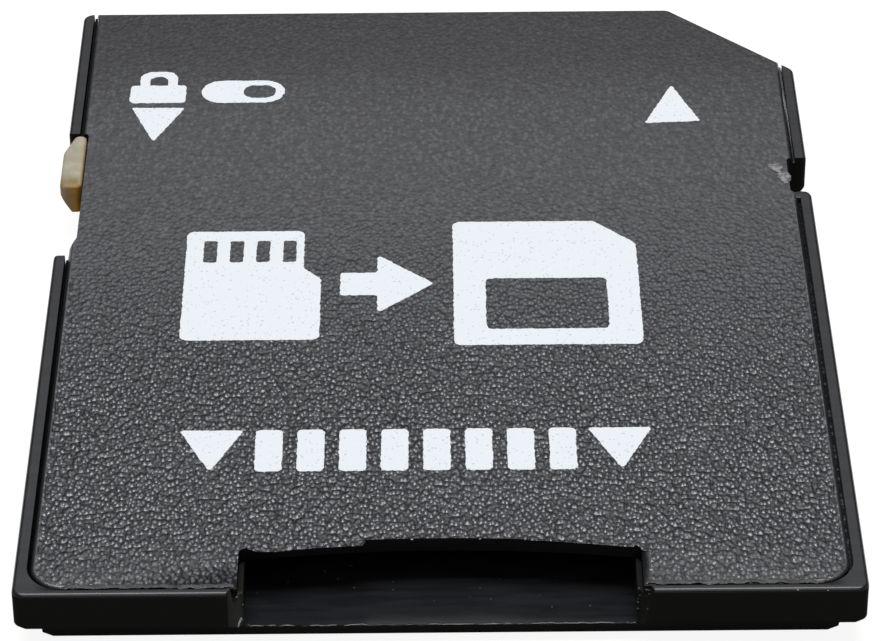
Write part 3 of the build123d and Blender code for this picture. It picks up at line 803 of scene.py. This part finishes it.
def makeLumpTree():
    tree = bpy.data.node_groups.new("lumps on points", "GeometryNodeTree")
    sockets = tree.interface
    sockets.new_socket(name="Geometry", in_out="INPUT", socket_type="NodeSocketGeometry")
    for label, kind, value in (("Smallest", "NodeSocketFloat", 0.7), ("Largest", "NodeSocketFloat", 1.2),
                               ("Flatness", "NodeSocketFloat", 0.6), ("Seed", "NodeSocketInt", 1)):
        sockets.new_socket(name=label, in_out="INPUT", socket_type=kind).default_value = value
    sockets.new_socket(name="Material", in_out="INPUT", socket_type="NodeSocketMaterial")
    sockets.new_socket(name="Geometry", in_out="OUTPUT", socket_type="NodeSocketGeometry")
    start, end = tree.nodes.new("NodeGroupInput"), tree.nodes.new("NodeGroupOutput")
    ball = addNode(tree, "GeometryNodeMeshIcoSphere")
    setInputs(ball, Radius=1.0, Subdivisions=2)
    noisy = addNode(tree, "ShaderNodeTexNoise")
    noisy.inputs["Scale"].default_value = 1.3
    push = addNode(tree, "GeometryNodeSetPosition")
    tree.links.new(ball.outputs["Mesh"], push.inputs["Geometry"])
    centred = addNode(tree, "ShaderNodeVectorMath", operation="SUBTRACT")
    centred.inputs[1].default_value = (0.5, 0.5, 0.5)
    tree.links.new(noisy.outputs["Color"], centred.inputs[0])
    tree.links.new(centred.outputs[0], push.inputs["Offset"])
    place = addNode(tree, "GeometryNodeInstanceOnPoints")
    tree.links.new(start.outputs["Geometry"], place.inputs["Points"])
    tree.links.new(push.outputs["Geometry"], place.inputs["Instance"])
    size = addNode(tree, "GeometryNodeInputNamedAttribute", data_type="FLOAT")
    size.inputs["Name"].default_value = "size"
    vary = addNode(tree, "FunctionNodeRandomValue", data_type="FLOAT")
    turn = addNode(tree, "FunctionNodeRandomValue", data_type="FLOAT")
    turn.inputs[3].default_value = 6.283      # a full turn
    tree.links.new(start.outputs["Smallest"], vary.inputs[2])
    tree.links.new(start.outputs["Largest"], vary.inputs[3])
    for node in (vary, turn):
        tree.links.new(start.outputs["Seed"], node.inputs["Seed"])
    whole = mathNode(tree, "MULTIPLY", size.outputs[0], vary.outputs[1])
    flat = mathNode(tree, "MULTIPLY", whole, start.outputs["Flatness"])
    shape = addNode(tree, "ShaderNodeCombineXYZ")
    for socket, value in zip(shape.inputs, (whole, whole, flat)):
        tree.links.new(value, socket)
    tree.links.new(shape.outputs[0], place.inputs["Scale"])
    angle = addNode(tree, "ShaderNodeCombineXYZ")
    tree.links.new(turn.outputs[1], angle.inputs[2])
    tree.links.new(angle.outputs[0], place.inputs["Rotation"])
    real = addNode(tree, "GeometryNodeRealizeInstances")
    paint = addNode(tree, "GeometryNodeSetMaterial")
    tree.links.new(place.outputs["Instances"], real.inputs[0])
    tree.links.new(real.outputs[0], paint.inputs["Geometry"])
    tree.links.new(start.outputs["Material"], paint.inputs["Material"])
    tree.links.new(paint.outputs["Geometry"], end.inputs[0])
    return tree


lumpTree = makeLumpTree()


def makeLumps(name, spots, material, slot="grained_black_plastic", **sizes):
    # each spot is x, y, z and radius in millimetres; the sizes are the tree's own inputs
    mesh = bpy.data.meshes.new(name)
    mesh.from_pydata([cardPoint(*spot[:3]) for spot in spots], [], [])
    radii = mesh.attributes.new("size", "FLOAT", "POINT")
    for index, spot in enumerate(spots):
        radii.data[index].value = spot[3] * mm
    holder = bpy.data.objects.new(name + "_points", mesh)
    bpy.context.collection.objects.link(holder)
    modifier = holder.modifiers.new("lumps", "NODES")
    modifier.node_group = lumpTree
    sizes["Material"] = material
    for item in lumpTree.interface.items_tree:
        if item.in_out == "INPUT" and item.name in sizes:
            modifier[item.identifier] = sizes[item.name]
    result = evaluatedMesh(holder)
    holder.modifiers.clear()
    bpy.data.objects.remove(holder)
    result.shade_smooth()
    return makePiece(name, result, [material])


# torn flecks beside the right-hand notch, dust in the slot and on its jambs
makeLumps("notch_flecks", [
    (10.84, 21.92, 2.10, 0.13), (10.98, 21.98, 2.10, 0.12), (10.92, 21.80, 2.10, 0.15),
    (11.06, 21.84, 2.10, 0.13), (11.00, 21.68, 2.10, 0.12), (11.10, 21.58, 2.10, 0.11),
    (11.10, 21.44, 2.10, 0.15), (11.24, 21.46, 2.10, 0.12), (11.14, 21.28, 2.10, 0.16),
    (11.28, 21.30, 2.10, 0.14), (11.20, 21.12, 2.10, 0.15), (11.32, 21.12, 2.10, 0.11),
    (11.24, 20.98, 2.10, 0.10)], fleckMaterial, Flatness=0.30, Seed=3)
makeLumps("slot_dust", [
    (-2.574, 3.151, 0.60, 0.040), (-2.922, 2.534, 0.60, 0.034), (-2.46, 2.114, 0.60, 0.036),
    (-3.30, 2.91, 0.60, 0.026), (-1.348, 2.375, 0.60, 0.028), (-1.347, 2.008, 0.60, 0.026),
    (-2.329, 3.362, 0.60, 0.024), (-5.22, 1.922, 0.60, 0.020), (-4.349, 2.415, 0.60, 0.022),
    (1.134, 2.067, 0.60, 0.022), (0.843, 1.659, 0.60, 0.020), (-0.181, 1.490, 0.60, 0.022),
    (1.439, 1.560, 0.60, 0.028), (0.62, 1.982, 0.60, 0.018), (3.161, 1.174, 0.60, 0.026),
    (4.239, 1.205, 0.60, 0.028), (2.836, 1.724, 0.60, 0.018), (1.712, 2.473, 0.60, 0.020),
    (2.513, 2.508, 0.60, 0.018)], dustMaterial, slot="smooth_black_plastic", Flatness=0.7, Seed=5)
makeLumps("jamb_specks", [
    (-5.71, 0.25, 1.79, 0.040), (-5.559, 0.535, 1.292, 0.036), (-5.417, 0.485, 0.60, 0.050),
    (5.562, 1.50, 1.18, 0.030), (5.588, 0.663, 1.65, 0.036), (5.604, 0.559, 1.492, 0.036),
    (5.569, 0.546, 1.381, 0.032), (5.560, 0.532, 1.270, 0.034), (5.563, 0.507, 1.061, 0.050),
    (5.278, 0.455, 0.598, 0.032), (5.461, 0.475, 0.560, 0.032), (5.848, 0.229, 1.798, 0.030),
    (5.809, 0.177, 1.311, 0.034)], dustMaterial, slot="smooth_black_plastic", Seed=7)
# pale specks near the cut-out, and painted glints where burrs and nicks along the slot end catch the lamp
makeLumps("plate_specks_and_glints", [
    (5.925, 0.92, 2.10, 0.055), (1.139, 2.449, 2.075, 0.045), (4.00, 2.26, 2.09, 0.050),
    (-0.793, 2.459, 2.07, 0.040), (-9.777, 0.47, 2.10, 0.040), (10.914, 0.50, 2.10, 0.055),
    (-9.595, 0.077, 2.09, 0.028), (9.98, 0.030, 2.055, 0.026), (10.82, 0.020, 2.035, 0.026)],
    crumbGlintMaterial, Seed=9)
print("specks placed")


# beads: torn and wavy edges that follow a path

beadFinish = {"fineShare": 0.5, "fineScale": 3.1, "liftScale": 0.8, "liftStart": 7.3,
              "top": 0.25, "sharpAngle": 50}


def makeBead(name, path, profile, look, materials):
    # a profile point is its way out from the path, its way up, and its share of the waves
    points = shortSteps(path, look["step"])
    form = bmesh.new()
    rings = []
    for index, point in enumerate(points):
        along = (points[min(index + 1, len(points) - 1)] - points[max(index - 1, 0)]).normalized()
        outward = Vector((along.y, -along.x, 0))
        spread = point / look["wave"]
        wave = noise.noise(spread) + beadFinish["fineShare"] * noise.noise(spread * beadFinish["fineScale"])
        shifted = spread * beadFinish["liftScale"] + Vector((beadFinish["liftStart"], 0, 0))
        lift = noise.noise(shifted) * look["lift"]
        ring = []
        for out, up, share in profile:
            spot = point + outward * (out + wave * look["push"] * share)
            ring.append(form.verts.new(cardPoint(spot.x, spot.y, spot.z + up + lift * share)))
        rings.append(ring)
    joinRings(form, rings)
    for face in form.faces:
        face.material_index = 0 if face.normal.z > beadFinish["top"] or len(materials) == 1 else 1
        face.smooth = True
    return makePiece(name, meshFrom(name, form, beadFinish["sharpAngle"]), materials)


plateBurr = {"step": 0.05, "wave": 0.26, "push": 0.075, "lift": 0.026}
plateLip = [(-0.17, -0.006, 0.0), (-0.09, 0.002, 0.5), (-0.02, 0.000, 0.9), (0.025, -0.022, 1.0),
            (0.020, -0.070, 0.8), (-0.10, -0.080, 0.0)]
makeBead("burr_left", [(-11.02, 0.62, 2.1), (-10.82, 0.43, 2.1), (-10.50, 0.345, 2.1), (-5.78, 0.345, 2.1)],
         plateLip, plateBurr, [tornGlintEdgeMaterial, shadedWallMaterial])
makeBead("burr_right", [(5.80, 0.345, 2.1), (10.50, 0.345, 2.1), (10.82, 0.43, 2.1), (11.02, 0.62, 2.1)],
         plateLip, plateBurr, [tornGlintEdgeMaterial, shadedWallMaterial])

floorBurr = {"step": 0.06, "wave": 0.24, "push": 0.026, "lift": 0.034}
floorLip = [(-0.06, -0.012, 0.0), (-0.035, 0.002, 0.8), (0.0, 0.008, 1.0), (0.030, -0.002, 0.8),
            (0.030, -0.03, 0.0)]
makeBead("slot_floor_burr", [(-5.50, 0.455, 0.6), (5.50, 0.455, 0.6)], floorLip, floorBurr, [shellMaterial])

# a curl of flash at the foot of the left jamb
curlBurr = {"step": 0.04, "wave": 0.5, "push": 0.0, "lift": 0.0}
curlStrip = [(-0.035, -0.02, 0.0), (-0.030, 0.02, 0.0), (0.030, 0.02, 0.0), (0.035, -0.02, 0.0)]
makeBead("jamb_curl", [(-5.600, 0.395, 0.905), (-5.640, 0.340, 0.880), (-5.675, 0.270, 0.830),
                       (-5.690, 0.215, 0.760)], curlStrip, curlBurr, [crumbGlintMaterial])

# the ragged shoulder that closes the right-hand notch towards the slot
notchShoulder = {"plan": [(11.38, 20.10), (11.36, 20.38), (11.50, 20.45), (11.66, 20.47), (11.84, 20.47),
                          (11.93, 20.38), (11.985, 20.22), (11.985, 20.10)],
                 "low": 0.97, "high": 2.085, "bevel": 0.04, "sharpAngle": 40}


def makeShoulder(look):
    form = bmesh.new()
    foot = [form.verts.new(cardPoint(x, y, look["low"])) for x, y in look["plan"]]
    form.faces.new(foot[::-1])
    crown = [form.verts.new(cardPoint(x, y, look["high"])) for x, y in look["plan"]]
    top = form.faces.new(crown)
    for index in range(len(foot)):
        after = (index + 1) % len(foot)
        form.faces.new((foot[index], foot[after], crown[after], crown[index]))
    bmesh.ops.bevel(form, geom=list(top.edges), offset=look["bevel"] * mm, segments=3, profile=0.5,
                    affect="EDGES")
    bmesh.ops.recalc_face_normals(form, faces=form.faces)
    for face in form.faces:
        face.smooth = True
    mesh = meshFrom("notch_shoulder", form, look["sharpAngle"])
    return makePiece("notch_shoulder", mesh, [shellMaterial])


makeShoulder(notchShoulder)
print("burrs, curl and shoulder made")


# floor, light and camera

stageLook = {
    "floor": (0.22, 0.215, 0.205, 1), "floorHalf": 3.0, "floorRoughness": 0.9, "floorGlow": 0.90,
    "skyDiffuse": 0.20, "skyShown": 1.0,
    "skyFrom": 0.15, "skyTo": 0.95, "skyLow": 0.05, "skyHigh": 1.50,      # mirrored sky, brighter overhead
    "skySides": 0.25, "sideTo": 0.6,
    "lampPlace": (0, 0.05, 0.5), "lampSize": (0.44, 0.26), "lampPower": 2.12,
}
photoView = {
    "sensor": 36.0, "lens": 168.1825, "place": (-0.00022674, -0.1061465, 0.07359302),
    "right": (0.999964, -0.00668, -0.005232), "up": (0.008102, 0.568397, 0.822715),
    "back": (-0.002522, -0.822727, 0.568431), "clip": (0.01, 10.0),
}


def shownRays(tree):
    rays = addNode(tree, "ShaderNodeLightPath")
    seen = mathNode(tree, "MAXIMUM", rays.outputs["Is Camera Ray"], rays.outputs["Is Glossy Ray"])
    return mathNode(tree, "MAXIMUM", seen, rays.outputs["Is Transmission Ray"])


def makeFloor(look):
    form = bmesh.new()
    bmesh.ops.create_grid(form, x_segments=2, y_segments=2, size=look["floorHalf"])
    mesh = meshFrom("floor", form)
    floor = bpy.data.objects.new("floor", mesh)
    bpy.context.collection.objects.link(floor)
    material = bpy.data.materials.new("pale floor")
    material.use_nodes = True
    tree = material.node_tree
    shader = setInputs(tree.nodes["Principled BSDF"], Base_Color=look["floor"],
                       Roughness=look["floorRoughness"], Specular_IOR_Level=0.0,
                       Emission_Color=(1, 1, 1, 1))
    feed(tree, shader, Emission_Strength=mathNode(tree, "MULTIPLY", shownRays(tree), look["floorGlow"]))
    mesh.materials.append(material)


def makeSky(look):
    # an even sky for diffuse light, a graded one in reflections, white where the camera sees it
    world = bpy.data.worlds.new("soft studio")
    bpy.context.scene.world = world
    world.use_nodes = True
    tree = world.node_tree
    background = tree.nodes["Background"]
    background.inputs["Color"].default_value = (1, 1, 1, 1)
    parts = splitVector(tree, addNode(tree, "ShaderNodeTexCoord").outputs["Generated"])
    rise = mapRange(tree, parts["Z"], look["skyFrom"], look["skyTo"], look["skyLow"], look["skyHigh"])
    aside = mathNode(tree, "ABSOLUTE", parts["X"])
    sides = mapRange(tree, aside, 0.0, look["sideTo"], 1.0, look["skySides"])
    graded = mathNode(tree, "MULTIPLY", rise, sides)
    rays = addNode(tree, "ShaderNodeLightPath")
    mirrored = mathNode(tree, "MAXIMUM", rays.outputs["Is Glossy Ray"], rays.outputs["Is Transmission Ray"])
    soft = mixValue(tree, mirrored, look["skyDiffuse"], graded)
    strength = mixValue(tree, rays.outputs["Is Camera Ray"], soft, look["skyShown"])
    tree.links.new(strength, background.inputs["Strength"])


def makeLamp(name, place, aim, size, power):
    lamp = bpy.data.lights.new(name, "AREA")
    lamp.shape = "RECTANGLE"
    lamp.size, lamp.size_y = size
    lamp.energy = power
    holder = bpy.data.objects.new(name, lamp)
    holder.location = place
    holder.rotation_euler = (Vector(aim) - Vector(place)).to_track_quat("-Z", "Y").to_euler()
    bpy.context.collection.objects.link(holder)


def makeCamera(view):
    camera = bpy.data.cameras.new("camera")
    camera.sensor_width, camera.lens = view["sensor"], view["lens"]
    camera.clip_start, camera.clip_end = view["clip"]
    holder = bpy.data.objects.new("camera", camera)
    turn = Matrix((view["right"], view["up"], view["back"])).transposed()
    holder.matrix_world = Matrix.Translation(view["place"]) @ turn.to_4x4()
    bpy.context.collection.objects.link(holder)
    bpy.context.scene.camera = holder


makeFloor(stageLook)
makeSky(stageLook)
makeLamp("top softbox", stageLook["lampPlace"], (0, 0, 0), stageLook["lampSize"], stageLook["lampPower"])
makeCamera(photoView)
bpy.context.scene.view_settings.view_transform = "Standard"
print("stage, lamp and camera ready")
